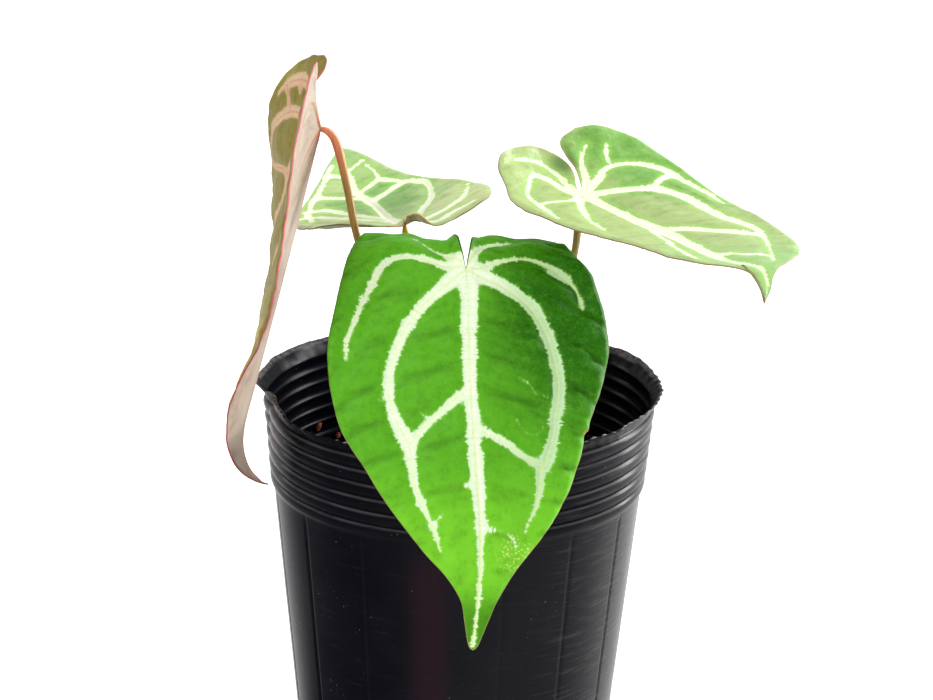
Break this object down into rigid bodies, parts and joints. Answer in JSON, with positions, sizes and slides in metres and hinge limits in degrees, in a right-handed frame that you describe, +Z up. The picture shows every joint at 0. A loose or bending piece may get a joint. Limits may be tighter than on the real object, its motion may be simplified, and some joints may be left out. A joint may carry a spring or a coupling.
{
  "type": "potted anthurium plant",
  "caption": "Young anthurium with heart-shaped silver-veined leaves on thin arching stalks, growing from bark mix in a tall tapered black plastic nursery pot with a ribbed band and flared rim.",
  "frame": {"origin": "Centre of the flat underside of the pot, on the pot's own axis, at the level of the surface that it stands on.", "axes": "+Z is up along the pot's axis, -Y is the front that the hanging leaf faces, and +X is to the right as seen from the front."},
  "size_m": [0.157, 0.1771, 0.2316],
  "materials": {
    "pot_plastic": "thin black film-like plastic, half gloss, with soft scuffs",
    "mix": "damp crumbled bark and peat",
    "stem_skin": "green-brown rootstock with leaf scars",
    "green_leaf": "satin green leaf with broad silvery-white veins",
    "bronze_leaf": "satin olive-bronze young leaf with pink veins and a pale underside",
    "stalk_skin": "smooth olive-brown stalk",
    "coral_stalk_skin": "smooth coral stalk that turns tan lower down",
    "dry_sheath": "dry fibrous brown scale",
    "root_skin": "velvety pale root",
    "bark": "rough orange-brown bark chunk",
    "perlite": "porous white grain"
  },
  "bodies": {
    "root": {"nursery_pot": "pot_plastic", "potting_mix": "mix", "stem": "stem_skin", "blade_front": "green_leaf", "blade_right": "green_leaf", "blade_back": "green_leaf", "blade_left": "bronze_leaf", "petiole_front": "stalk_skin", "petiole_right": "stalk_skin", "petiole_back": "stalk_skin", "petiole_left": "coral_stalk_skin", "dry_sheath_1": "dry_sheath", "dry_sheath_2": "dry_sheath", "dry_sheath_3": "dry_sheath", "dry_sheath_4": "dry_sheath", "surface_root_1": "root_skin", "surface_root_2": "root_skin", "surface_root_3": "root_skin", "surface_root_4": "root_skin", "bark_chunk_1": "bark", "bark_chunk_2": "bark", "bark_chunk_3": "bark", "bark_chunk_4": "bark", "bark_chunk_5": "bark", "bark_chunk_6": "bark", "bark_chunk_7": "bark", "bark_chunk_8": "bark", "bark_chunk_9": "bark", "bark_chunk_10": "bark", "perlite_grain_1": "perlite", "perlite_grain_2": "perlite", "perlite_grain_3": "perlite", "perlite_grain_4": "perlite", "perlite_grain_5": "perlite"}
  },
  "joints": []
}
